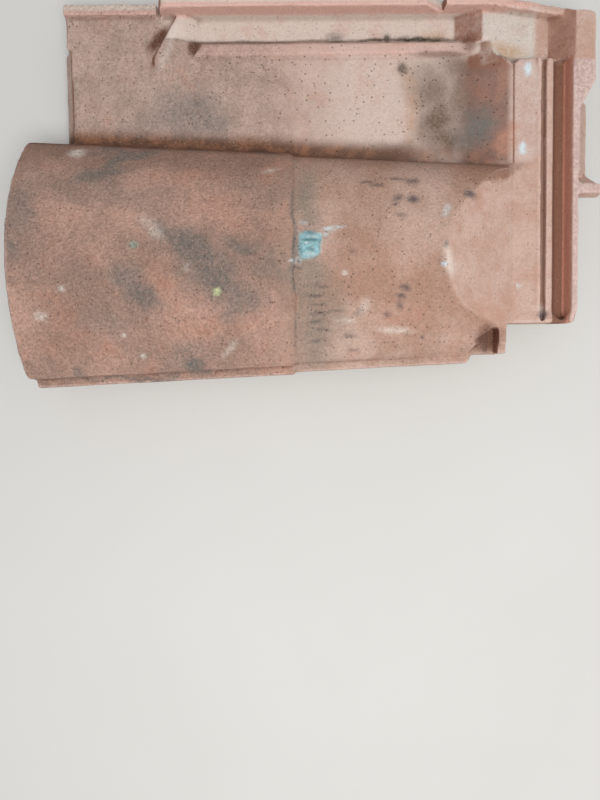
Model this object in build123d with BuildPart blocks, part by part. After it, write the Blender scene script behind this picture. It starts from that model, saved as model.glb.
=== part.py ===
from build123d import *
from math import atan2, degrees
import os

os.makedirs("parts", exist_ok=True)

# Clay roof tile with a flat pan, a tapered roll and interlocking edges, in millimetres.
# X runs across from the gutter to the roll, Y up the slope from the tail to the head and
# Z out of the upper face. The origin lies under the middle of the tile's outline, level
# with the bottom of the nib.

# Overall
tile_width = 297.0
tile_length = 435.0
wall = 12.0
nib_drop = 14.0

# Pan
pan_setback = 31.5
pan_bevel = 9.0
edge_setback = 27.0

# Raised tail half, which makes one tile look like two courses
raised = 2.0
raised_length = 203.0
raised_inset = 55.0
raised_corner = 14.0
raised_slope = 60.0

# Roll, a half cone whose section is a three-centred arch, its axis a little askew
nose_half_width = 99.0
nose_rise = 56.5
nose_inset = 91.0
end_half_width = 74.0
end_rise = 36.0
end_inset = 97.0
roll_setback = 63.0
haunch_radius = 27.0
valley_radius = 7.0
patch_length = 54.0

# Free edge of the roll, how far it draws in from the right, and the ledge beside it
edge_draw_at_step = 8.5
edge_draw_at_pocket = 16.0
edge_draw_at_plate = 23.0
edge_run = 4.0
ledge_width = 7.0
ledge_setback = 4.0
ledge_rise = 19.0
ledge_end_rise = 11.0

# Gutter, its low wall measured from the nose and all further up from the head
gutter_wall = 8.0
gutter_wall_at_end = 5.5
gutter_wall_rise = 15.0
low_wall_rise = 5.0
low_wall_end = 99.0
notch_gap = 3.0
upper_notch = 128.0
upper_notch_run = 15.0
upper_notch_depth = 11.0
wall_bend = 80.0
wall_end = 20.0
wall_shift = 12.0
channel_depth = 2.5
wall_end_radius = 7.0
rib_start = 31.0
rib_rise = 4.0
rib_foot = ((26.5, 122.0), (42.0, 126.0))
rib_foot_end = 83.0
rib_crest = ((31.0, 136.0), (38.0, 127.5))
rib_crest_end = 85.0
lock_start = 48.5

# Deflector that turns water from the gutter on to the pan: its tail foot, tail shoulder,
# crest and head foot measured from the nose, beside the gutter wall, where its steep face
# ends beside the rib and where it fades
deflector_at_wall = (113.5, 116.0, 121.5, 131.0)
deflector_at_rib = (91.5, 97.5, 109.0, 128.0)
deflector_at_fade = (92.5, 98.0, 103.0, 110.0)
deflector_rib_place = 40.0
deflector_fade_place = 74.0
deflector_rise = 5.0
deflector_fade_rise = 0.5

# Upper channel and head bar, places along the tile from the head
channel_slope_foot = 103.0
channel_slope_top = 83.0
upper_channel_rise = 8.0
bar_slope_foot = 32.0
bar_front = 16.0
bar_start = 15.0
bar_end = 67.0
bar_taper = 22.0
bar_corner = 5.0

# Head lock, places from the head and levels above the pan
ramp_foot = 92.0
platform_front = 60.5
platform_rise = 15.5
platform_corner = 4.0
bead_front = 44.0
bead_rise = 1.2
bead_slope = 45.0
groove_front = 39.8
groove_width = 3.8
groove_depth = 5.0
groove_end_gap = 1.5
trough_front = 31.2
trough_rise = 7.3
trough_batter = 5.0
trough_end_gap = 1.5
trough_point = 7.0
rim_front = 17.2
rim_width = 4.9
rim_rise = 19.7
rim_batter = 2.0
rim_chamfer = 4.0
rim_chamfer_length = 9.0
lock_inset = 46.5
head_wall = 9.5

# Notched corner on the roll side, with an end plate and a pocket before it
corner_front = 66.5
plate_front = 73.5
pocket_front = 94.0
pocket_foot = 78.0
pocket_inset = 43.0
pocket_splay = 10.0
pocket_rise = 6.0
pocket_front_rise = 22.0

# Tab on the head edge with its gusset, the shelf beside it and the nib under the head
tab_place = 148.5
tab_width = 7.0
tab_batter = 1.5
tab_depth = 11.0
tab_gusset = 9.0
tab_gusset_end = 5.0
tab_overhang = 7.0
nib_width = 24.0
nib_length = 14.0
nib_batter = 2.0
shelf_start = 80.0
shelf_end = 137.0
shelf_rise = 8.0
shelf_batter = 8.6
shelf_ledge = 2.0

# Ribs under the tail that drop into the groove and the trough of the tile below
head_lap = 80.0
tail_rib_height = 6.0
tail_rib_width = 2.4
tail_lug_height = 8.0
tail_lug_width = 6.0

# Levels
pan_under = nib_drop
pan_top = pan_under + wall
channel_floor = pan_top - channel_depth
upper_channel = pan_top + upper_channel_rise
platform_top = pan_top + platform_rise
trough_floor = pan_top + trough_rise
head_under = trough_floor - head_wall
rim_top = pan_top + rim_rise
wall_top = pan_top + gutter_wall_rise
shelf_top = pan_top + shelf_rise

# Places across the tile
left = -tile_width / 2
right = tile_width / 2
rib_left = left + rib_start
lock_left = left + lock_start
lock_right = right - lock_inset
gutter_side = left + gutter_wall
tab_x = left + tab_place
tab_left = tab_x - tab_width / 2
tab_right = tab_x + tab_width / 2

# Places along the tile
nose = -(tile_length + tab_overhang) / 2
head = nose + tile_length
tail = nose + pan_setback
tail_bottom = tail - pan_bevel
groove_middle = head - groove_front + groove_width / 2
trough_middle = head - (trough_front - trough_batter + rim_front + rim_batter) / 2
step = nose + raised_length
roll_end = head - roll_setback
roll_length = roll_end - nose
patch_start = roll_end - patch_length
rim_back = head - rim_front + rim_width
tab_tip = head + tab_overhang
gauge = tile_length - head_lap

# Corners of the free edge, from the nose to the end plate
free_edge = (
    (right, nose),
    (right - edge_draw_at_step, step),
    (right - edge_draw_at_step - raised, step),
    (right - edge_draw_at_pocket, head - pocket_front - edge_run / 2),
    (right - edge_draw_at_plate, head - pocket_front + edge_run / 2),
    (right - edge_draw_at_plate, roll_end),
)


def half_width(y):
    return nose_half_width + (end_half_width - nose_half_width) * (y - nose) / roll_length


def rise(y):
    return nose_rise + (end_rise - nose_rise) * (y - nose) / roll_length


def roll_axis(y):
    return right - nose_inset + (nose_inset - end_inset) * (y - nose) / roll_length


def arch(y, grow):
    """Draws the arch over the roll at y, offset by grow, and returns its two feet."""
    axis = roll_axis(y)
    half = half_width(y) + grow
    top = rise(y) + grow
    haunch = haunch_radius + grow
    crown = (half**2 + top**2 - 2 * half * haunch) / (2 * (top - haunch))
    turn = degrees(atan2(crown - top, half - haunch))
    CenterArc((axis + half - haunch, pan_top), haunch, 0, turn)
    CenterArc((axis, pan_top + top - crown), crown, turn, 180 - 2 * turn)
    CenterArc((axis - half + haunch, pan_top), haunch, 180 - turn, turn)
    return axis - half, axis + half


def roll_section(y, grow, on_pan):
    """Draws the section of the roll at y, with its fillet to the pan."""
    with BuildSketch(Plane.XZ.offset(-y)) as section:
        with BuildLine():
            foot_left, foot_right = arch(y, grow)
            Polyline(
                (foot_left, pan_top),
                (foot_left, pan_under),
                (foot_right, pan_under),
                (foot_right, pan_top),
            )
        make_face()
        if on_pan:
            with Locations((foot_left - 2 * valley_radius, pan_under)):
                Rectangle(3 * valley_radius, wall + grow, align=(Align.MIN, Align.MIN))
            valley = section.vertices().sort_by_distance((foot_left, -y, pan_top + grow))[0]
            fillet(valley, radius=valley_radius)
    return section.sketch


def beside_edge(inset):
    """Draws the plan between the free edge, moved in by inset, and well beyond the tile."""
    with BuildSketch(Plane.XY.offset(-wall)) as beside:
        with BuildLine():
            Polyline(
                *[(x - inset, y) for x, y in free_edge],
                (right + tile_width, roll_end),
                (right + tile_width, nose),
                close=True,
            )
        make_face()
    return beside.sketch


# Ledge along the free edge of the roll
with BuildPart() as ledge:
    with BuildSketch(Plane.YZ.offset(left)):
        with BuildLine():
            Polyline(
                (nose + ledge_setback, pan_under),
                (nose + ledge_setback, pan_top + ledge_rise),
                (roll_end, pan_top + ledge_end_rise),
                (roll_end, pan_under),
                close=True,
            )
        make_face()
    extrude(amount=tile_width)
    extrude(beside_edge(wall), amount=tile_width, mode=Mode.INTERSECT)
    extrude(beside_edge(0), amount=tile_width, mode=Mode.SUBTRACT)

# Roll, cut off along the ledge and cut down to a flat patch at its head
with BuildPart() as roll:
    loft(sections=[roll_section(y, raised, on_pan=False) for y in (nose, tail)])
    loft(sections=[roll_section(y, raised, on_pan=True) for y in (tail, step)])
    loft(sections=[roll_section(y, 0, on_pan=True) for y in (step, roll_end)])
    with BuildSketch(Plane.YZ.offset(left)):
        with BuildLine():
            Polyline(
                (patch_start, pan_top + rise(patch_start)),
                (roll_end, platform_top),
                (roll_end, wall + platform_top + nose_rise),
                (patch_start, wall + platform_top + nose_rise),
                close=True,
            )
        make_face()
    extrude(amount=tile_width, mode=Mode.SUBTRACT)
    extrude(beside_edge(ledge_width), amount=tile_width, mode=Mode.SUBTRACT)
    add(ledge.part)

# Hollow under the roll, one wall inside it and closed at the head
with BuildPart() as roll_hollow:
    for y in (nose, roll_end):
        with BuildSketch(Plane.XZ.offset(-y)):
            with BuildLine():
                foot_left, foot_right = arch(y, -wall)
                Polyline(
                    (foot_left, pan_top),
                    (foot_left, -wall),
                    (foot_right, -wall),
                    (foot_right, pan_top),
                )
            make_face()
    loft()
    with BuildSketch(Plane.YZ.offset(left)):
        with BuildLine():
            Polyline(
                (patch_start - wall, pan_top + nose_rise),
                (patch_start - wall, pan_top + rise(patch_start) - wall),
                (roll_end - wall, head_under),
                (roll_end, head_under),
                (roll_end, pan_top + nose_rise),
                close=True,
            )
        make_face()
    extrude(amount=tile_width, mode=Mode.SUBTRACT)
    with BuildSketch(Plane.XY.offset(-wall)):
        with Locations((lock_right - wall / 2, head - pocket_front - wall)):
            Rectangle(tile_width, tile_width, align=(Align.MIN, Align.MIN))
    extrude(amount=tile_width, mode=Mode.SUBTRACT)
    extrude(beside_edge(wall), amount=tile_width, mode=Mode.SUBTRACT)

# Gutter wall: low at the tail, then high with a notch, and bent inwards at the head
with BuildPart() as gutter_side_wall:
    with BuildSketch(Plane.XY.offset(pan_under)):
        with BuildLine():
            Polyline(
                (left, nose + edge_setback),
                (left, head - wall_bend),
                (left + wall_shift, head - wall_end),
                (left + wall_shift + gutter_wall_at_end, head - wall_end),
                (gutter_side, head - wall_bend),
                (gutter_side, nose + edge_setback),
                close=True,
            )
        make_face()
    extrude(amount=wall_top - pan_under)
    with BuildSketch(Plane.YZ.offset(left)) as wall_profile:
        with BuildLine():
            Polyline(
                (nose + edge_setback, pan_under),
                (nose + edge_setback, pan_top + low_wall_rise),
                (nose + low_wall_end, pan_top + low_wall_rise),
                (nose + low_wall_end, pan_top),
                (nose + low_wall_end + notch_gap, pan_top),
                (nose + low_wall_end + notch_gap, wall_top),
                (head - upper_notch, wall_top),
                (head - upper_notch + upper_notch_run, wall_top - upper_notch_depth),
                (head - upper_notch + upper_notch_run, wall_top),
                (head - wall_end, wall_top),
                (head - wall_end, head_under),
                (head - platform_front, head_under),
                (head - ramp_foot, pan_under),
                close=True,
            )
        make_face()
        fillet(
            wall_profile.vertices().sort_by_distance((left, head - wall_end, wall_top))[0],
            radius=wall_end_radius,
        )
    extrude(amount=gutter_wall + wall_shift, mode=Mode.INTERSECT)

# Trough of the head lock
with BuildPart() as trough:
    with BuildSketch(Plane.YZ.offset(lock_left)):
        with BuildLine():
            Polyline(
                (head - trough_front, rim_top),
                (head - trough_front, platform_top),
                (head - trough_front + trough_batter, trough_floor),
                (head - rim_front - rim_batter, trough_floor),
                (head - rim_front, rim_top),
                close=True,
            )
        make_face()
    extrude(amount=lock_right - lock_left)
    with BuildSketch():
        with BuildLine():
            Polyline(
                (lock_left, head - trough_front),
                (lock_right - trough_end_gap - trough_point, head - trough_front),
                (lock_right - trough_end_gap, trough_middle),
                (lock_right - trough_end_gap - trough_point, head - rim_front),
                (lock_left, head - rim_front),
                close=True,
            )
        make_face()
    extrude(amount=rim_top, mode=Mode.INTERSECT)

# Pocket before the end plate, its floor sloping down towards the plate
with BuildPart() as pocket:
    with BuildSketch(Plane.YZ.offset(right - pocket_inset)):
        with BuildLine():
            Polyline(
                (head - pocket_front, pan_top + pocket_front_rise),
                (head - pocket_foot, pan_top + pocket_rise),
                (head - plate_front, pan_top + pocket_rise),
                (head - plate_front, pan_top + nose_rise),
                (head - pocket_front, pan_top + nose_rise),
                close=True,
            )
        make_face()
    extrude(amount=tile_width)
    with BuildSketch():
        with BuildLine():
            Polyline(
                (right - pocket_inset, head - pocket_foot),
                (right - pocket_inset + pocket_splay, head - pocket_front),
                (right, head - pocket_front),
                (right, head - plate_front),
                (right - pocket_inset, head - plate_front),
                close=True,
            )
        make_face()
    extrude(amount=tile_width, mode=Mode.INTERSECT)

# Foot and crest of the rib between the gutter and the pan
rib = []
for corners, end, level in (
    (rib_foot, rib_foot_end, channel_floor),
    (rib_crest, rib_crest_end, pan_top + rib_rise),
):
    (gutter_place, gutter_along), (pan_place, pan_along) = corners
    with BuildSketch(Plane.XY.offset(level)) as rib_section:
        with BuildLine():
            Polyline(
                (left + gutter_place, nose + gutter_along),
                (left + pan_place, nose + pan_along),
                (left + pan_place, head - end),
                (left + gutter_place, head - end),
                close=True,
            )
        make_face()
    rib.append(rib_section.sketch)

# Sections of the deflector across the tile
deflector = []
for x, places, crest in (
    (gutter_side, deflector_at_wall, deflector_rise),
    (left + deflector_rib_place, deflector_at_rib, deflector_rise),
    (left + deflector_fade_place, deflector_at_fade, deflector_fade_rise),
):
    tail_foot, shoulder, ridge, head_foot = places
    with BuildSketch(Plane.YZ.offset(x)) as deflector_section:
        with BuildLine():
            Polyline(
                (nose + tail_foot, channel_floor),
                (nose + shoulder, pan_top + crest),
                (nose + ridge, pan_top + crest),
                (nose + head_foot, channel_floor),
                close=True,
            )
        make_face()
    deflector.append(deflector_section.sketch)

with BuildPart() as roof_tile:
    # Pan, ramp and platform from the rib to the end of the lock
    with BuildSketch(Plane.YZ.offset(rib_left)):
        with BuildLine():
            Polyline(
                (tail_bottom, pan_under),
                (tail, pan_top),
                (head - ramp_foot, pan_top),
                (head - platform_front, platform_top),
                (rim_back, platform_top),
                (rim_back, head_under),
                (head - platform_front, head_under),
                (head - ramp_foot, pan_under),
                close=True,
            )
        make_face()
    extrude(amount=lock_right - rib_left)
    # Gutter floor, its upper level and the slope to the bar
    with BuildSketch(Plane.YZ.offset(left)):
        with BuildLine():
            Polyline(
                (nose + edge_setback, pan_under),
                (nose + edge_setback, pan_top),
                (nose + low_wall_end, pan_top),
                (nose + deflector_at_wall[2], channel_floor),
                (head - channel_slope_foot, channel_floor),
                (head - channel_slope_top, upper_channel),
                (rim_back, upper_channel),
                (rim_back, head_under),
                (head - platform_front, head_under),
                (head - ramp_foot, pan_under),
                close=True,
            )
        make_face()
    extrude(amount=rib_start)
    # The upper channel widens as far as the platform, with its bar slope at the head
    with BuildSketch(Plane.XY.offset(upper_channel)):
        with BuildLine():
            Polyline(
                (rib_left, head - channel_slope_top),
                (lock_left + platform_corner, head - platform_front),
                (lock_left, head - platform_front + platform_corner),
                (lock_left, rim_back),
                (rib_left, rim_back),
                close=True,
            )
        make_face()
    extrude(amount=rim_top, mode=Mode.SUBTRACT)
    with BuildSketch(Plane.YZ.offset(left + wall_shift)):
        with BuildLine():
            Polyline(
                (head - bar_slope_foot, upper_channel),
                (head - bar_front, rim_top),
                (rim_back, rim_top),
                (rim_back, upper_channel),
                close=True,
            )
        make_face()
    extrude(amount=lock_start - wall_shift)
    # Raised tail half
    with BuildSketch(Plane.XY.offset(pan_top)) as tail_half:
        with Locations((left + raised_inset, tail)):
            Rectangle(
                roll_axis(nose) - left - raised_inset,
                step - tail,
                align=(Align.MIN, Align.MIN),
            )
        fillet(
            tail_half.vertices().sort_by_distance((left + raised_inset, step, pan_top))[0],
            radius=raised_corner,
        )
    extrude(amount=raised, taper=raised_slope)
    # Roll over its hollow
    add(roll.part)
    add(roll_hollow.part, mode=Mode.SUBTRACT)
    # Rim along the head and the bar that widens it beside the gutter
    with BuildSketch(Plane.XY.offset(head_under)) as rim_plan:
        with BuildLine():
            Polyline(
                (left + bar_start, head - bar_front),
                (left + bar_start, head),
                (left + bar_end, head),
                (left + bar_end + bar_taper, rim_back),
                (lock_right - rim_chamfer_length, rim_back),
                (lock_right, rim_back - rim_chamfer),
                (lock_right, head - rim_front - rim_batter),
                (lock_left, head - rim_front - rim_batter),
                (lock_left, head - bar_front),
                close=True,
            )
        make_face()
        fillet(
            rim_plan.vertices().sort_by_distance((left + bar_start, head, head_under))[0],
            radius=bar_corner,
        )
    extrude(amount=rim_top - head_under)
    # Trough before the rim, pointed at the roll side
    add(trough.part, mode=Mode.SUBTRACT)
    # Bead and groove across the platform
    with BuildSketch(Plane.XY.offset(platform_top)):
        with Locations((lock_left, head - bead_front)):
            Rectangle(
                lock_right - lock_left,
                bead_front - groove_front,
                align=(Align.MIN, Align.MIN),
            )
    extrude(amount=bead_rise, taper=bead_slope)
    with BuildSketch(Plane.XY.offset(platform_top - groove_depth)):
        with Locations((lock_right - groove_end_gap - groove_width / 2, groove_middle)):
            Circle(groove_width / 2)
            Rectangle(tile_width, groove_width, align=(Align.MAX, Align.CENTER))
    extrude(amount=wall, mode=Mode.SUBTRACT)
    # Gutter wall, with the edge of the tile drawn in beside it at the head
    with BuildSketch():
        with BuildLine():
            Polyline(
                (left - wall, head - wall_bend),
                (left, head - wall_bend),
                (left + wall_shift, head - wall_end),
                (left + bar_start, head - bar_front),
                (left + bar_start, tab_tip),
                (left - wall, tab_tip),
                close=True,
            )
        make_face()
    extrude(amount=rim_top, mode=Mode.SUBTRACT)
    add(gutter_side_wall.part)
    # Rib
    loft(sections=rib, ruled=True)
    # Deflector
    for wall_part, rib_part in ((deflector[0], deflector[1]), (deflector[1], deflector[2])):
        loft(sections=[wall_part, rib_part], ruled=True)
    # Shelf behind the rim
    with BuildSketch(Plane.YZ.offset(left + shelf_start)):
        with BuildLine():
            Polyline(
                (rim_back, rim_top),
                (rim_back + shelf_batter, shelf_top),
                (rim_back + shelf_batter + shelf_ledge, shelf_top),
                (rim_back + shelf_batter + shelf_ledge, head_under),
                (rim_back, head_under),
                close=True,
            )
        make_face()
    extrude(amount=shelf_end - shelf_start)
    # Tab with its gusset, which ends on the slant
    with BuildSketch(Plane.XZ.offset(-rim_back)):
        with BuildLine():
            Polyline(
                (tab_right + tab_batter, rim_top - tab_depth),
                (tab_right, rim_top),
                (tab_left, rim_top),
                (tab_left - tab_gusset, rim_top - tab_depth),
                close=True,
            )
        make_face()
    extrude(amount=rim_back - tab_tip)
    with BuildSketch():
        with BuildLine():
            Polyline(
                (tab_left - tab_gusset, rim_back + shelf_batter + shelf_ledge),
                (tab_left, tab_tip - tab_gusset_end),
                (tab_left, tab_tip + wall),
                (tab_left - tab_gusset - wall, tab_tip + wall),
                (tab_left - tab_gusset - wall, rim_back + shelf_batter + shelf_ledge),
                close=True,
            )
        make_face()
    extrude(amount=rim_top, mode=Mode.SUBTRACT)
    # Nib under the head
    with BuildSketch(Plane.YZ.offset(tab_x - nib_width / 2)):
        with BuildLine():
            Polyline(
                (rim_back - nib_length, head_under),
                (rim_back - nib_length, 0),
                (rim_back - nib_batter, 0),
                (rim_back, head_under),
                close=True,
            )
        make_face()
    extrude(amount=nib_width)
    # Notched corner, end plate and pocket
    with BuildSketch():
        with Locations((lock_right, head - corner_front)):
            Rectangle(tile_width, tile_width, align=(Align.MIN, Align.MIN))
    extrude(amount=rim_top + wall, mode=Mode.SUBTRACT)
    add(pocket.part, mode=Mode.SUBTRACT)
    with BuildSketch(Plane.XY.offset(pan_under)):
        with Locations((lock_right, head - plate_front)):
            Rectangle(
                right - edge_draw_at_plate - lock_right,
                plate_front - corner_front,
                align=(Align.MIN, Align.MIN),
            )
    extrude(amount=platform_top - pan_under)
    # Ribs under the tail
    for y, width, height in (
        (groove_middle - gauge, tail_rib_width, tail_rib_height),
        (trough_middle - gauge, tail_lug_width, tail_lug_height),
    ):
        with BuildSketch(Plane.XY.offset(pan_under)):
            with Locations((lock_left + platform_corner, y)):
                Rectangle(
                    roll_axis(nose) - nose_half_width - lock_left - platform_corner,
                    width,
                    align=(Align.MIN, Align.CENTER),
                )
        extrude(amount=-height)

roof_tile.part.label = "roof_tile"
export_step(roof_tile.part, "parts/roof_tile.step")
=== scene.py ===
"""Looks of a weathered clay roof tile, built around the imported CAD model. Metres, +Z up."""

import math
from types import SimpleNamespace

import bmesh
import bpy
import numpy as np
from mathutils import Matrix, Vector


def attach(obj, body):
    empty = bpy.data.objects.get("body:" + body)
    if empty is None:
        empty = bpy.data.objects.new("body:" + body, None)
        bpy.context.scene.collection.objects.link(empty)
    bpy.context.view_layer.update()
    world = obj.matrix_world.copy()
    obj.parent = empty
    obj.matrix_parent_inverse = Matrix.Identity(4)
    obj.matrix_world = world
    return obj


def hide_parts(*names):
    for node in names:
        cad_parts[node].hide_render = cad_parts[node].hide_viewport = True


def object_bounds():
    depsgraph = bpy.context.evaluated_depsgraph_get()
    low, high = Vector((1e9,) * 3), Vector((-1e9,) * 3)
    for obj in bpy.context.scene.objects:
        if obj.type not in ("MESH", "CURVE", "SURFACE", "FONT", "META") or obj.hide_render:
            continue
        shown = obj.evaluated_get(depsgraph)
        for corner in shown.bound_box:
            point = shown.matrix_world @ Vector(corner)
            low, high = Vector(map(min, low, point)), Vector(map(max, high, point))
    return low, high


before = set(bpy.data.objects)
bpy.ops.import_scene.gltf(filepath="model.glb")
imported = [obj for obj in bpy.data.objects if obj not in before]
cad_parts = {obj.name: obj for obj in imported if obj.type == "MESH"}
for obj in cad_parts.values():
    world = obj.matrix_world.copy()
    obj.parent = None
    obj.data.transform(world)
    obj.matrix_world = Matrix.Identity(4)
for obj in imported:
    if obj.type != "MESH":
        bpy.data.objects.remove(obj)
cad_box = [list(corner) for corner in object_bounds()]
scene = bpy.context.scene
MM = 0.001

# Places on the tile in millimetres, as in the CAD source
LEFT, NOSE = -148.5, -221.0
GUTTER_RIGHT = LEFT + 28.0
BAR_LEFT = LEFT + 50.0
DEFLECTOR_Y = NOSE + 96.0
STEP_Y = NOSE + 203.0
RAMP_Y = NOSE + 326.0
CHANNEL_Y = NOSE + 350.0
PLATFORM_Y = NOSE + 374.5
TROUGH_Y, TROUGH_END_Y = NOSE + 403.5, NOSE + 418.2
RIM_Y = NOSE + 417.0

# The foot of the roll at y 0, and how far it moves across for each millimetre up the tile
ROLL_FOOT, ROLL_LEAN = -30.2, 0.05108

# The mesh: distance of the weld and grain of the remesh in metres, and the triangles it keeps
WELD = 2e-6
VOXEL, QUICK_VOXEL = 0.0011, 0.0020
TRIANGLES = 186000

# Large odd numbers, which scatter the cells of the noise
HASH = np.array([73856093, 19349663, 83492791])


# Camera, as the photograph was taken: a phone held about half a metre over the tile
def add_camera():
    data = bpy.data.cameras.new("camera")
    data.sensor_fit = "HORIZONTAL"
    data.sensor_width = 36.0
    data.lens = 36.14
    data.clip_start = 0.01
    camera = bpy.data.objects.new("camera", data)
    right = Vector((0.01156, 0.99991, 0.00610)).normalized()
    back = Vector((-0.04435, -0.00558, 0.99900)).normalized()
    up = back.cross(right).normalized()
    right = up.cross(back)
    turn = Matrix((right, up, back)).transposed()
    camera.matrix_world = Matrix.Translation((0.1391, -0.0164, 0.5117)) @ turn.to_4x4()
    scene.collection.objects.link(camera)
    scene.camera = camera


def add_key_light(place, target, size, power, colour):
    data = bpy.data.lights.new("key", "AREA")
    data.shape = "DISK"
    data.size = size
    data.energy = power
    data.color = colour
    lamp = bpy.data.objects.new("key", data)
    lamp.location = place
    aim = Vector(target) - Vector(place)
    lamp.rotation_euler = aim.to_track_quat("-Z", "Y").to_euler()
    scene.collection.objects.link(lamp)


def add_world(strength):
    world = bpy.data.worlds.new("studio")
    world.use_nodes = True
    shade = world.node_tree.nodes["Background"]
    shade.inputs["Color"].default_value = (0.97, 0.98, 1.0, 1.0)
    shade.inputs["Strength"].default_value = strength
    scene.world = world


def linear(red, green, blue):
    """A colour written as on a screen, 0 to 255, in the renderer's linear values."""
    values = [c / 255.0 for c in (red, green, blue)]
    return tuple(c / 12.92 if c < 0.04045 else ((c + 0.055) / 1.055) ** 2.4 for c in values)


class Graph:
    """Short calls for the nodes of one material."""

    def __init__(self, name):
        self.material = bpy.data.materials.new(name)
        self.material.use_nodes = True
        self.tree = self.material.node_tree
        self.tree.nodes.clear()

    def node(self, kind, inputs=None, **settings):
        made = self.tree.nodes.new("ShaderNode" + kind)
        for name, value in settings.items():
            setattr(made, name, value)
        for name, value in (inputs or {}).items():
            self.put(made.inputs[name], value)
        return made

    def put(self, socket, value):
        if isinstance(value, bpy.types.NodeSocket):
            self.tree.links.new(value, socket)
        elif isinstance(value, tuple) and len(value) == 3 and socket.type == "RGBA":
            socket.default_value = (*value, 1.0)
        else:
            socket.default_value = value

    def math(self, operation, first, second=0.0):
        made = self.node("Math", operation=operation)
        self.put(made.inputs[0], first)
        self.put(made.inputs[1], second)
        return made.outputs[0]

    def times(self, *factors):
        product = factors[0]
        for factor in factors[1:]:
            product = self.math("MULTIPLY", product, factor)
        return product

    def opposite(self, mask):
        return self.math("SUBTRACT", 1.0, mask)

    def vector(self, operation, first, second=None, scale=None):
        made = self.node("VectorMath", operation=operation)
        self.put(made.inputs[0], first)
        if second is not None:
            self.put(made.inputs[1], second)
        if scale is not None:
            self.put(made.inputs["Scale"], scale)
        return made.outputs["Vector"]

    def parts(self, vector):
        return tuple(self.node("SeparateXYZ", {"Vector": vector}).outputs)

    def layer(self, name):
        """One of the values written on the points of the mesh."""
        return self.node("Attribute", attribute_name=name).outputs["Fac"]

    def span(self, value, low, high, start=0.0, end=1.0):
        """value from low to high, smoothly, becomes start to end."""
        made = self.node("MapRange", {"Value": value}, interpolation_type="SMOOTHSTEP")
        sockets = ("From Min", "From Max", "To Min", "To Max")
        for name, number in zip(sockets, (low, high, start, end)):
            made.inputs[name].default_value = number
        return made.outputs["Result"]

    def blend(self, factor, first, second, mode="MIX"):
        made = self.node("Mix", data_type="RGBA", blend_type=mode)
        self.put(made.inputs["Factor"], factor)
        for socket, value in zip((made.inputs[6], made.inputs[7]), (first, second)):
            self.put(socket, value)
        return made.outputs[2]

    def tones(self, cloud, dark, light, low=0.35, high=0.65):
        """Two tones, written 0 to 255, mixed by cloudy noise."""
        return self.blend(self.span(cloud, low, high), linear(*dark), linear(*light))

    def cover(self, colour, mask, tone, strength=1.0):
        """colour, under a tone written 0 to 255 or made by nodes, where the mask is."""
        if strength != 1.0:
            mask = self.math("MULTIPLY", mask, strength)
        if isinstance(tone, tuple):
            tone = linear(*tone)
        return self.blend(mask, colour, tone)

    def noise(self, coords, scale, detail=3.0, rough=0.55, output="Fac"):
        inputs = {"Vector": coords, "Scale": scale, "Detail": detail, "Roughness": rough}
        return self.node("TexNoise", inputs).outputs[output]

    def finish(self, colour, roughness, normal):
        inputs = {"Base Color": colour, "Roughness": roughness, "Normal": normal}
        shader = self.node("BsdfPrincipled", inputs)
        out = self.node("OutputMaterial")
        self.tree.links.new(shader.outputs[0], out.inputs[0])
        return shader


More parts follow.
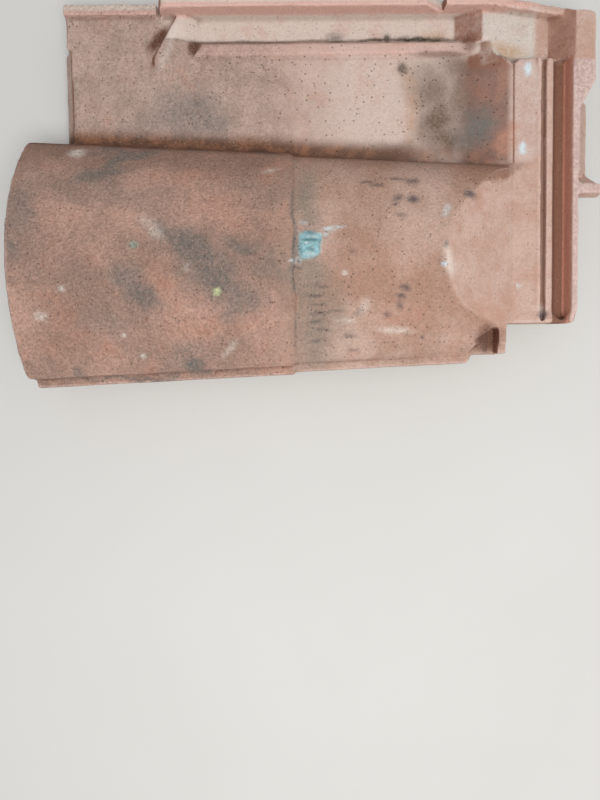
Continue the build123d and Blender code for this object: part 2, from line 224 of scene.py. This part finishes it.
# Stains, and a few lines of painted shade and shadow along the rib, the deflector and the step,
# each a list of
# ovals: x, y, half length up the tile, half width across it, turn in degrees and strength. The
# first number of a layer is how soft its edges are, the second how far cloudy noise drifts them,
# in mm.
STAINS_AND_SHADE = {
    "soot": (0.8, 7, [
        (36, -109, 13, 6, 52, 0.7), (47, -95, 18, 10, 50, 0.85), (60, -83, 18, 14, 50, 0.85),
        (72, -71, 24, 20, 50, 0.8), (88, -58, 20, 17, 30, 0.65), (46, -54, 15, 6, 5, 0.75),
        (78, -127, 21, 12, 38, 0.75), (69, -140, 12, 7, 30, 0.6), (-6, -160, 26, 8, -20, 0.75),
        (-20, -150, 18, 5, -38, 0.75), (-29, -140, 30, 5, 5, 0.8), (50, -215, 8, 14, 0, 0.7),
        (132, -93, 15, 9, -10, 0.95), (128, -99, 22, 10, -12, 0.45),
        (138, -140, 52, 3, 0, 0.75), (132, -181, 6, 5, 0, 0.7), (20, -210, 12, 30, 0, 0.55),
        (60, -35, 9, 7, 0, 0.4), (64, -22, 6, 6, 0, 0.4), (104, -150, 24, 10, 30, 0.35),
        (-67, -98, 32, 15, 0, 0.6), (-58, -84, 22, 12, 0, 0.6), (-60, -106, 40, 20, 10, 0.35),
        (-55, 127, 12, 16, 0, 0.85), (-44, 123, 15, 13, 0, 0.7), (-62, 131, 8, 10, 0, 0.6),
        (10, -150, 50, 10, 10, 0.35),
    ]),
    "smear_and_shade": (0.8, 4, [
        (12, -7, 10, 28, 0, 0.8), (70, -6, 14, 42, 0, 0.75), (108, -2, 16, 30, 0, 0.75),
        # (60, -16) is a dark line along the foot of the step: grime and painted shadow.
        (92, 8, 18, 26, 0, 0.5), (130, 0, 20, 10, 0, 0.5), (60, -16, 2.2, 84, 0, 0.9),
        (45, -25, 8, 18, 0, 0.25),
    ]),
    "orange": (1, 8, [
        (98, -182, 17, 16, 80, 0.45), (118, -190, 10, 12, 60, 0.4), (70, -110, 22, 9, 42, 0.5),
        (104, -66, 26, 7, 8, 0.4), (22, -70, 20, 12, 20, 0.35), (-6, -88, 34, 9, -6, 0.4),
        (108, -92, 26, 7, 0, 0.4), (39, -30, 20, 14, 0, 0.25), (118, -160, 14, 8, 0, 0.5),
        (-84, 146, 6, 16, 0, 0.4), (-38, 148, 10, 12, 0, 0.7), (-112, 62, 22, 12, 0, 0.2),
        (100, 60, 30, 12, 0, 0.3), (96, 132, 18, 20, 0, 0.35), (60, 60, 30, 26, 0, 0.2),
    ]),
    "pale": (0.8, 1.5, [
        (37, -116, 9, 5, 45, 0.55), (30, -121, 9, 5, 20, 0.35), (77, -182, 2.6, 2.2, 0, 0.9),
        (96, -199, 5, 3, 0, 0.75), (110, -141, 1.7, 1.5, 0, 0.95),
        (123.5, -130, 2.2, 1.9, 0, 0.9), (40, 1, 4, 2.5, 0, 0.5), (-28, -179, 7, 5, 0, 0.85),
        (-12, -33, 7, 1.6, -20, 0.6), (107, 58, 16, 2.6, 4, 0.7), (66, 19, 2.4, 1.8, 0, 0.9),
        (100, 22, 9, 1.2, 0, 0.6), (90, 35, 8, 4, -60, 0.5), (57, 97, 4, 14, -10, 0.6),
        (121, -66, 9, 2.4, -50, 0.6), (-113, -114, 26, 3.6, -66, 0.45),
        (62, -94, 1.2, 3, 0, 0.7), (90, 175, 6, 3, 0, 0.5),
    ]),
    "olive": (0.9, 6, [
        (-84, 92, 22, 22, 0, 0.8), (-60, 98, 20, 26, 0, 0.95), (-44, 104, 22, 12, 0, 0.95),
        (-100, 108, 14, 12, 0, 0.6), (-40, 70, 20, 6, 0, 0.5), (-76, 112, 14, 24, 0, 0.7),
    ]),
    "straw": (0.9, 4, [
        (-66, 76, 6, 26, 0, 0.42), (-92, 74, 6, 14, 0, 0.35), (-108, 150, 16, 4.5, 8, 0.8),
        (-124, 94, 12, 8, 0, 0.5), (-116, -90, 5, 5, 0, 0.4),
    ]),
    "umber": (0.5, 1, [
        # (-124, -122) on the deflector's steep face and (-117, -93) at the tail end of the rib are
        # painted shade.
        (-124, -122, 15, 4.6, -49, 1), (-117, -93, 6, 6.5, 0, 0.95),
        # (-109.5, 100) on the pan side of the rib is painted shade; (-122.8, 10) along the rib's
        # foot in the gutter is grime and painted shadow.
        (-109.5, 100, 24, 1.8, 0, 0.5), (-122.8, 10, 110, 1.3, 0, 0.6),
        (-102, 152, 12, 2, 12, 0.6), (-117, 121, 6, 8, 0, 0.7), (114, 131, 11, 11, 20, 0.8),
        (-102, -88, 15, 1.6, -62, 0.35),
    ]),
    "moss": (0.7, 1.5, [
        (-122.5, 84, 28, 3, 0, 1), (-123, 57, 4, 5, 0, 0.9), (-123, 50, 16, 2, 0, 0.8),
        (-100, 71, 5, 5, 0, 0.8), (-125, 17, 8, 5, 0, 0.6), (-122, -60, 60, 1.2, 0, 0.5),
    ]),
    "dash": (0.8, 1, [
        (-3, 38, 7, 1.2, 0, 1), (0, 45, 6, 1.2, 0, 1), (-6, 60, 5, 1.2, 0, 1),
        (-4, 72, 6, 3, 0, 0.8), (10, 60, 4, 3, 0, 0.9), (11, 71, 5, 4, 0, 0.9),
        (16, 57, 3, 1.2, 0, 1), (77, 64, 4, 3, 20, 0.9), (83, 62, 4, 2, 0, 0.9),
        (90, 61, 2, 4, 0, 0.9), (75, 0, 9, 1, 2, 0.8), (82, -1, 10, 1, -2, 0.8),
        (88, 1, 8, 0.9, 0, 0.7), (95, 2, 9, 1, -3, 0.8), (101, 0, 9, 1, -4, 0.8),
        (107, 4, 8, 1, 3, 0.6), (114, 2, 9, 1, -2, 0.7), (93, 14, 7, 1, 2, 0.7),
        (7, 115, 6, 3.5, 20, 0.9), (52, 26, 4, 1.4, 0, 0.6), (94, 31, 4, 2, -30, 0.7),
        (62, -14, 3, 1.2, 0, 0.7), (122, 27, 6, 1.4, 0, 0.6), (111, 24, 5, 1.2, 0, 0.8),
        (96, 52, 4, 2, 20, 0.7), (24, 62, 5, 2, 10, 0.6), (113, 80, 1.6, 1.4, 0, 1),
        (95, 176, 5, 4, 0, 0.9), (45, 95, 2, 3, 0, 0.9), (59, 92, 2, 2, 0, 0.9),
        # The last is a painted shadow line along the edge of the step.
        (52, -17, 0.8, 80, 0, 0.45),
    ]),
    "paint": (0.5, 1, [
        (-91, 164, 3, 5.5, 0, 1), (-32, 160, 3.2, 5, 10, 1), (73, 157, 1.5, 1.5, 0, 1),
        (60, 94, 3, 2, 0, 0.8), (34, 11, 9, 1.2, -4, 1), (38, 4, 5, 1, 10, 1),
        (56, -16, 5, 0.9, -20, 0.9), (30, -10, 3, 0.9, 30, 0.8), (20, 96, 3, 6, 20, 0.4),
    ]),
    "lichen": (0.3, 0.6, [
        (79.6, -73.2, 3, 2.8, 0, 1),
    ]),
    "grey_green": (0.5, 0.6, [
        (46.6, -130.8, 4.2, 2.8, 0, 1),
    ]),
    "teal": (0.25, 1.2, [
        (46, -5, 8.6, 10.2, 6, 1), (41, -9, 4.6, 5, 0, 1), (41, -1, 4.4, 4.6, 0, 1),
        (52, -9, 4.6, 4.4, 0, 1), (50, -1, 4.4, 4.6, 0, 1),
    ]),
    "teal_dark": (0.9, 0.8, [
        (42.6, -5, 8, 1.3, 0, 0.95), (49.2, -4.3, 3.2, 1.7, 12, 0.8),
        (37.4, -6, 5, 1.8, 0, 0.7), (44, 2.2, 1.2, 1.4, 0, 0.7), (48.4, 2.4, 1, 1.2, 0, 0.7),
        (49.5, -11.6, 1.3, 5.5, 0, 0.6), (46, -15.2, 1.6, 11, 0, 0.5),
    ]),
    "streak": (0.4, 0.4, [
        (57.6, -13, 1, 3.2, 6, 0.95), (39.8, -4.5, 5.5, 0.6, 4, 0.6),
        (44.6, -8, 1, 0.9, 0, 0.8), (46.5, 3.4, 0.7, 6, 0, 0.5), (52.6, -5.5, 5, 1.4, 4, 0.35),
    ]),
}

# The colour of each layer, in the order in which they lie over one another
TINTS = {
    "orange": (188, 136, 114),
    "olive": (98, 77, 61),
    "straw": (178, 138, 98),
    "soot": (110, 110, 106),
    "smear_and_shade": (134, 125, 114),
    "umber": (96, 60, 44),
    "moss": (54, 48, 38),
    "dash": (80, 74, 76),
    "pale": (222, 210, 200),
    "grey_green": (146, 160, 150),
    "lichen": (206, 212, 160),
    "paint": (204, 220, 226),
    "teal": (146, 190, 198),
    "teal_dark": (62, 96, 100),
    "streak": (226, 222, 214),
}

# Layers that noise hardly breaks up
SOLID_LAYERS = ("umber", "teal", "teal_dark", "streak", "lichen", "dash", "paint", "olive")

# The tail edge of the pale flat patch on the roll, x and y
PATCH_BORDER = (
    (-24, 172), (-10, 150), (-4, 128), (10, 112), (28, 100), (45, 95),
    (60, 95), (74, 99), (88, 107), (98, 120), (106, 148), (122, 180),
)


def tile_places(g):
    """Coordinates in millimetres, and the masks and clouds that several steps share."""
    mm = g.vector("SCALE", g.node("TexCoord").outputs["Object"], scale=1.0 / MM)
    drift = g.vector("SUBTRACT", g.noise(mm, 0.05, 3.0, output="Color"), (0.5, 0.5, 0.5))
    loose = g.vector("ADD", mm, g.vector("SCALE", drift, scale=22.0))
    x, y, z = g.parts(mm)
    facing = g.parts(g.node("NewGeometry").outputs["Normal"])
    beside = g.math("SUBTRACT", x, g.math("ADD", g.times(y, ROLL_LEAN), ROLL_FOOT))
    past_deflector = g.span(y, DEFLECTOR_Y, DEFLECTOR_Y + 16.0)
    return SimpleNamespace(
        mm=mm, x=x, y=y, z=z, loose_y=g.parts(loose)[1], facing_y=facing[1], facing_up=facing[2],
        beside=beside, on_roll=g.span(beside, -3.0, 5.0),
        gutter=g.times(g.span(x, GUTTER_RIGHT, GUTTER_RIGHT - 3.0), past_deflector),
        head_lock=g.span(y, PLATFORM_Y - 6.0, PLATFORM_Y - 1.0),
        cloud=g.noise(mm, 0.018, 4.0, 0.6), patchy=g.noise(mm, 0.06, 5.0, 0.7),
        patch=g.layer("patch"), relief=g.layer("relief"),
    )


def body_colours(g, at):
    """The clay's own tones, with broad cloudy change, and painted shade on the roll's flank next
    to the pan.
    """
    roll_tail = g.tones(at.cloud, (160, 131, 117), (194, 156, 140))
    roll_head = g.tones(at.cloud, (170, 134, 116), (194, 165, 151))
    roll = g.blend(g.span(at.y, STEP_Y - 0.5, STEP_Y + 1.5), roll_tail, roll_head)
    # Painted shade: the roll's flank darker towards its foot beside the pan.
    roll = g.cover(roll, g.span(at.beside, 34.0, 4.0), (128, 96, 80), 0.5)
    pan = g.tones(at.patchy, (174, 149, 137), (192, 165, 153))
    pan = g.cover(pan, g.span(at.loose_y, -30.0, 38.0), (201, 180, 170))
    pan = g.cover(pan, at.gutter, (206, 190, 180))
    colour = g.blend(at.on_roll, pan, roll)

    ramp = g.times(g.span(at.loose_y, RAMP_Y, RAMP_Y + 20.0), g.span(at.x, LEFT + 38, LEFT + 44))
    ramp = g.times(ramp, g.opposite(at.on_roll))
    colour = g.cover(colour, ramp, g.tones(at.patchy, (118, 91, 82), (138, 102, 89)), 0.9)
    lock_tone = g.tones(at.patchy, (190, 161, 149), (199, 178, 169))
    colour = g.cover(colour, at.head_lock, lock_tone)
    channel = g.times(g.span(at.y, CHANNEL_Y, CHANNEL_Y + 4.0), g.span(at.z, 37.5, 35.5))
    channel = g.times(channel, g.span(at.x, BAR_LEFT, BAR_LEFT - 3.0))
    colour = g.cover(colour, channel, (202, 190, 180))

    near_foot = g.times(at.on_roll, g.span(at.beside, 40.0, 14.0))
    roll_end = g.times(g.span(at.y, 92.0, 124.0), near_foot)
    colour = g.cover(colour, roll_end, (150, 112, 92), 0.6)
    colour = g.cover(colour, at.patch, g.tones(at.patchy, (184, 150, 134), (194, 166, 153)))
    red = g.span(g.noise(at.mm, 0.035, 5.0, 0.7), 0.5, 0.72)
    return g.cover(colour, red, (176, 118, 96), 0.35)


def walls_and_rim(g, at, colour):
    """Gutter wall and rib are pinker, the rim at the head mottled."""
    wall = g.times(g.span(at.x, LEFT + 12.5, LEFT + 9.0), g.span(at.z, 26.0, 31.0))
    wall_tone = g.tones(at.x, (208, 192, 180), (206, 164, 152), LEFT + 3.5, LEFT + 6.5)
    colour = g.cover(colour, wall, wall_tone, 0.9)
    rib = g.times(
        g.span(at.z, 27.4, 29.2), g.span(at.z, 31.5, 30.6),
        g.span(at.x, GUTTER_RIGHT - 2.0, GUTTER_RIGHT), g.span(at.x, LEFT + 42, LEFT + 40),
        g.span(at.y, DEFLECTOR_Y + 28, DEFLECTOR_Y + 34), g.span(at.y, CHANNEL_Y, CHANNEL_Y - 10),
    )
    colour = g.cover(colour, rib, (202, 166, 155), 0.6)
    rim = g.times(g.span(at.y, RIM_Y, RIM_Y + 1.5), g.span(at.x, BAR_LEFT, BAR_LEFT + 4.0))
    rim = g.times(rim, g.span(at.z, 43.0, 45.0, 0.0, 0.85))
    mottle = g.noise(at.mm, 0.45, 4.0, 0.7)
    rim_tone = g.tones(mottle, (180, 152, 149), (212, 190, 181), 0.36, 0.68)
    return g.cover(colour, rim, rim_tone)


def wear_and_shade(g, at, colour):
    """Edges rubbed pale and pinkish; painted shade: hollows brown, faces that face the tail and
    the ramp's slope red-brown.
    """
    off_step = g.span(g.math("ABSOLUTE", g.math("SUBTRACT", at.y, STEP_Y)), 3.0, 8.0)
    rubbed = g.times(g.span(at.relief, 0.18, 0.75), off_step)
    colour = g.cover(colour, rubbed, (218, 188, 178), 0.5)
    # Painted shade: faces that face the tail are turned red-brown.
    tail_facing_shade = g.times(g.span(at.facing_y, -0.5, -0.72), g.span(at.z, 22.0, 26.0))
    tail_facing_shade = g.times(tail_facing_shade, g.span(at.y, TROUGH_Y - 7.5, TROUGH_Y - 11.5, 0.35, 1.0))
    colour = g.cover(colour, tail_facing_shade, (132, 80, 62), 0.85)
    # Painted shade: the ramp's slope, which faces the tail, turned red-brown in patches.
    ramp_slope_shade = g.times(g.span(at.y, RAMP_Y + 2.0, RAMP_Y + 8.0), g.span(at.x, LEFT + 60, LEFT + 46))
    ramp_slope_shade = g.times(ramp_slope_shade, g.span(at.z, 23.0, 24.5), g.span(at.facing_y, -0.08, -0.42))
    ramp_slope_shade = g.times(ramp_slope_shade, g.span(at.patchy, 0.32, 0.6, 0.5, 1.0))
    colour = g.cover(colour, ramp_slope_shade, (134, 90, 72), 0.85)
    # Painted shade: hollows darkened brown.
    hollow_shade = g.times(g.span(at.relief, -0.12, -0.85), g.span(at.z, 8.0, 20.0))
    return g.cover(colour, hollow_shade, (104, 70, 52), 0.6)


def stained_and_shaded(g, at, colour):
    """The painted layers of stains and of a few lines of painted shade, broken up by noise, on the
    faces that look up.
    """
    broken = g.span(g.noise(at.mm, 0.42, 5.0, 0.75), 0.3, 0.56, 0.35, 1.0)
    whole = g.math("MAXIMUM", broken, 0.86)
    top = g.span(at.facing_up, -0.05, 0.35)
    for name, tint in TINTS.items():
        kept = whole if name in SOLID_LAYERS else broken
        colour = g.cover(colour, g.times(g.layer(name), kept, top), tint)
    return colour


def valley_and_trough(g, at, colour):
    """A brown band along the valley beside the roll, grime and painted shadow, and the dark trough
    of the head lock, painted shadow of the rim.
    """
    # Grime and painted shadow of the roll along the valley.
    valley_shade = g.times(g.span(at.beside, -19.0, -7.0), g.span(at.beside, 6.0, 0.0))
    valley_shade = g.times(valley_shade, g.span(at.loose_y, PLATFORM_Y - 30, PLATFORM_Y - 90, 0.35, 1.0))
    valley_shade = g.times(valley_shade, g.span(at.y, PLATFORM_Y - 6, PLATFORM_Y - 20))
    valley_shade_tone = g.tones(at.patchy, (94, 62, 45), (132, 88, 62), 0.4, 0.62)
    colour = g.cover(colour, valley_shade, valley_shade_tone, 0.92)
    # Painted shadow of the rim on the trough floor, lighter up its far wall.
    trough_shadow = g.times(
        g.span(at.y, TROUGH_Y, TROUGH_Y + 1.5), g.span(at.y, TROUGH_END_Y, TROUGH_END_Y - 0.8),
        g.span(at.x, BAR_LEFT - 4.0, BAR_LEFT + 2.0), g.span(at.z, 45.2, 42.0),
    )
    far_wall = TROUGH_END_Y - 3.7, TROUGH_END_Y - 2.4
    trough_shadow_tone = g.tones(at.y, (120, 80, 62), (202, 138, 118), *far_wall)
    return g.cover(colour, trough_shadow, trough_shadow_tone, 0.92)


def grain(g, at, colour):
    """Sandy speckle, dark pits and pale grains; gives the colour and the height of the bumps."""
    tail_half = g.span(at.loose_y, STEP_Y + 24.0, STEP_Y - 30.0)
    coarse = g.times(tail_half, g.opposite(at.gutter), g.span(at.beside, -10.0, 20.0, 0.75, 1.0))
    coarse = g.math("MAXIMUM", coarse, g.times(at.on_roll, 0.6))
    coarse = g.times(coarse, g.opposite(g.times(at.patch, 0.6)))
    coarse = g.math("MAXIMUM", coarse, 0.32)
    speckle = g.noise(at.mm, 0.55, 4.0, 0.8)
    cells = g.node("TexVoronoi", {"Vector": at.mm, "Scale": 0.55, "Randomness": 1.0})
    pit_chance, grain_chance, shade = tuple(
        g.node("SeparateColor", {"Color": cells.outputs["Color"]}).outputs
    )
    lift = g.math("ADD", g.span(speckle, 0.3, 0.7, -0.2, 0.24), g.span(shade, 0.0, 1.0, -0.1, 0.1))
    lift = g.math("ADD", g.times(lift, coarse), 1.0)
    lifted = g.node("CombineXYZ", {0: lift, 1: lift, 2: lift})
    colour = g.blend(1.0, colour, lifted.outputs[0], "MULTIPLY")

    core = g.span(cells.outputs["Distance"], 0.42, 0.14)
    rare = g.span(at.patchy, 0.35, 0.7, 0.97, 0.86)
    pits = g.times(core, g.math("GREATER_THAN", pit_chance, rare))
    clean = g.math("MAXIMUM", at.patch, g.math("MAXIMUM", at.head_lock, at.gutter))
    pits = g.times(pits, g.opposite(g.times(clean, 0.6)))
    grains = g.times(core, g.span(grain_chance, 0.86, 0.92), coarse)
    colour = g.cover(colour, pits, (84, 64, 56), 0.38)
    colour = g.cover(colour, grains, (228, 208, 190), 0.6)

    sand = g.noise(at.mm, 0.8, 3.0, 0.7)
    height = g.times(g.math("ADD", sand, g.times(speckle, 1.2)), coarse)
    height = g.math("SUBTRACT", height, g.times(pits, 0.7))
    return colour, g.math("ADD", height, g.times(grains, 0.6))


def fired_clay():
    g = Graph("fired_clay")
    at = tile_places(g)
    colour = body_colours(g, at)
    for step in (walls_and_rim, wear_and_shade, stained_and_shaded, valley_and_trough):
        colour = step(g, at, colour)
    colour, height = grain(g, at, colour)
    bump = g.node("Bump", {"Height": height, "Strength": 1.0, "Distance": 0.0015})
    roughness = g.span(at.patchy, 0.3, 0.7, 0.82, 0.95)
    shader = g.finish(colour, roughness, bump.outputs[0])
    shader.inputs["Specular IOR Level"].default_value = 0.25
    return g.material


def evaluated_mesh(piece):
    depsgraph = bpy.context.evaluated_depsgraph_get()
    return bpy.data.meshes.new_from_object(piece.evaluated_get(depsgraph))


def remeshed(piece, kind, **settings):
    """Puts one modifier on the piece and keeps its result as the piece's mesh."""
    modifier = piece.modifiers.new(kind.lower(), kind)
    for name, value in settings.items():
        setattr(modifier, name, value)
    mesh = evaluated_mesh(piece)
    piece.modifiers.remove(modifier)
    piece.data = mesh


def points_of(mesh):
    flat = np.empty(len(mesh.vertices) * 3, np.float32)
    mesh.vertices.foreach_get("co", flat)
    return flat.reshape(-1, 3).astype(float)


def move_points(mesh, points):
    mesh.vertices.foreach_set("co", points.astype(np.float32).ravel())


def normals_of(mesh):
    flat = np.empty(len(mesh.vertices) * 3, np.float32)
    mesh.vertex_normals.foreach_get("vector", flat)
    return flat.reshape(-1, 3).astype(float)


def smoothed(points, edges, rounds):
    """Points moved towards the mean of their neighbours, a few times."""
    first, second = edges[:, 0], edges[:, 1]
    count = np.bincount(np.concatenate((first, second)), minlength=len(points))[:, None]
    points = points.copy()
    for _ in range(rounds):
        total = np.column_stack([
            np.bincount(first, points[second, k], len(points))
            + np.bincount(second, points[first, k], len(points))
            for k in range(3)
        ])
        points = 0.4 * points + 0.6 * total / np.maximum(count, 1)
    return points


def value_noise(points, size, seed):
    """Smooth noise from -1 to 1 at the given grain size, the same on every run."""
    cell = points / size + 1000.0
    base = np.floor(cell).astype(np.int64)
    part = cell - base
    part = part * part * (3 - 2 * part)
    total = np.zeros(len(points))
    for corner in range(8):
        step = np.array([corner & 1, corner >> 1 & 1, corner >> 2 & 1])
        key = (base + step) * HASH
        mixed = key[:, 0] ^ key[:, 1] ^ key[:, 2] ^ seed * 2654435
        mixed = (mixed ^ mixed >> 13) * 1274126177 & 0xFFFFFFFF
        worth = ((mixed ^ mixed >> 16) & 0xFFFF) / 32767.5 - 1.0
        weight = np.prod(np.where(step, part, 1 - part), axis=1)
        total += worth * weight
    return total


def oval(mm, place, soft):
    """How strongly each point lies in one stain, seen from above."""
    x, y, along, across, turn, strength = place
    sine, cosine = math.sin(math.radians(turn)), math.cos(math.radians(turn))
    side, up = mm[:, 0] - x, mm[:, 1] - y
    reach = np.hypot((side * cosine - up * sine) / across, (side * sine + up * cosine) / along)
    part = np.clip((1 + soft / 2 - reach) / (1.5 * soft), 0, 1)
    return strength * part * part * (3 - 2 * part)


def paint_stains_and_shade(mesh, mm):
    """Writes each layer of stains and of the lines of painted shade on the points of the mesh, and
    the flat patch.
    """
    clouds = np.column_stack([
        value_noise(mm, 17.0, 20 + k) + 0.5 * value_noise(mm, 6.0, 30 + k) for k in range(2)
    ])
    for name, (soft, drift, places) in STAINS_AND_SHADE.items():
        moved = mm[:, :2] + drift * clouds
        mask = np.max([oval(moved, place, soft) for place in places], axis=0)
        keep_points(mesh, name, mask)
    keep_points(mesh, "patch", flat_patch(mm))


def flat_patch(mm):
    """The pale flat patch at the head of the roll, which ends in an uneven arc."""
    x = mm[:, 0] + 2.0 * value_noise(mm, 9.0, 12)
    border = np.interp(x, *zip(*PATCH_BORDER))
    return ease(mm[:, 1] - border, -2.5, 2.0) * (mm[:, 2] > 30)


def keep_points(mesh, name, values):
    layer = mesh.attributes.new(name, "FLOAT", "POINT")
    layer.data.foreach_set("value", values.astype(np.float32))


def inside_box(points):
    low, high = (np.array(corner) for corner in cad_box)
    return np.clip(points, low, high)


def ease(value, low, high):
    part = np.clip((value - low) / (high - low), 0, 1)
    return part * part * (3 - 2 * part)


def soft_part(mm):
    """Where the raised tail half fades into the pan without an edge."""
    x, y, z = mm.T
    part = ease(x, LEFT + 43, LEFT + 49) * ease(-x, -LEFT - 86, -LEFT - 78)
    part *= ease(y, NOSE + 38, NOSE + 46) * ease(-y, -STEP_Y + 3, -STEP_Y + 12)
    return part * (z > 22)


def ramp_edge(mm):
    """The ramp stops a little short of the platform, which leaves a crisp edge."""
    x, y, z = mm.T
    part = ease(y, PLATFORM_Y - 12, PLATFORM_Y - 4) * (y < PLATFORM_Y - 0.6) * (z > 30)
    return 1.1 * part * ease(x, BAR_LEFT - 1, BAR_LEFT + 2) * (x < -28 + 0.05 * y)


def paint_dab(mm):
    """A thick dab of old paint, combed into ridges."""
    dab = oval(mm, STAINS_AND_SHADE["teal"][2][0], 0.3) * (mm[:, 2] > 50)
    return dab * (0.5 + 0.4 * np.sin(1.1 * mm[:, 0] + 1.2 * value_noise(mm, 6.0, 8)))


def grit(mm):
    """Granules of moss and dirt that lie along the rib and in the pan."""
    strong = [place for name in ("moss", "pale") for place in STAINS_AND_SHADE[name][2] if place[5] >= 0.8]
    spots = np.max([oval(mm, place, 0.8) for place in strong], axis=0)
    return 0.9 * spots * np.clip(0.2 + value_noise(mm, 2.4, 9), 0, 1) * (mm[:, 2] > 20)


def worn_shift(mm, relief):
    """How far each point moves outwards, in millimetres."""
    shift = 0.22 * value_noise(mm, 34.0, 1) + 0.14 * value_noise(mm, 11.0, 2)
    shift += 0.07 * value_noise(mm, 3.2, 3)
    worn = np.clip(relief - 0.15, 0, 1) * np.clip(0.35 + value_noise(mm, 5.0, 4), 0, 1.3)
    return shift - 0.9 * worn - ramp_edge(mm) + (paint_dab(mm) + grit(mm))


def clay_body(node):
    """The tile with softened, worn edges and the uneven faces of pressed clay."""
    mesh = node.data.copy()
    work = bmesh.new()
    work.from_mesh(mesh)
    bmesh.ops.remove_doubles(work, verts=work.verts, dist=WELD)
    work.to_mesh(mesh)
    work.free()
    body = bpy.data.objects.new("clay_body", mesh)
    scene.collection.objects.link(body)
    remeshed(body, "REMESH", mode="VOXEL", voxel_size=VOXEL)
    mesh = body.data
    edges = np.empty(len(mesh.edges) * 2, np.int32)
    mesh.edges.foreach_get("vertices", edges)
    edges = edges.reshape(-1, 2)
    points = smoothed(points_of(mesh), edges, 2)
    points += (smoothed(points, edges, 40) - points) * soft_part(points / MM)[:, None]
    move_points(mesh, points)
    mesh.update()
    normals = normals_of(mesh)
    relief = ((points - smoothed(points, edges, 14)) * normals).sum(1) / MM
    mm = points / MM
    points = points + normals * (worn_shift(mm, relief) * MM)[:, None]
    move_points(mesh, inside_box(points))
    keep_points(mesh, "relief", relief)
    paint_stains_and_shade(mesh, mm)
    triangles = 2 * len(mesh.polygons)
    remeshed(body, "DECIMATE", ratio=min(1.0, TRIANGLES / triangles))
    move_points(body.data, inside_box(points_of(body.data)))
    for face in body.data.polygons:
        face.use_smooth = True
    body.data.materials.clear()
    body.data.materials.append(fired_clay())
    return body


def add_floor():
    bpy.ops.mesh.primitive_plane_add(size=6.0, location=(0, 0, -0.0004))
    floor = bpy.context.object
    floor.name = "floor"
    g = Graph("floor_paper")
    mm = g.vector("SCALE", g.node("TexCoord").outputs["Object"], scale=1.0 / MM)
    tone = g.blend(g.noise(mm, 0.004, 3.0), linear(198, 197, 193), linear(206, 205, 202))
    bump = g.node("Bump", {"Height": g.noise(mm, 0.8, 2.0), "Strength": 0.1, "Distance": 0.0002})
    g.finish(tone, 0.9, bump.outputs[0])
    floor.data.materials.append(g.material)


add_camera()
add_world(0.55)
add_key_light((0.52, 0.16, 1.25), (0.0, 0.0, 0.03), 0.8, 14.0, (1.0, 0.985, 0.96))
add_floor()
body = clay_body(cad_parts["roof_tile"])
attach(body, "root")
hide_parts("roof_tile")

scene.view_settings.view_transform = "Standard"
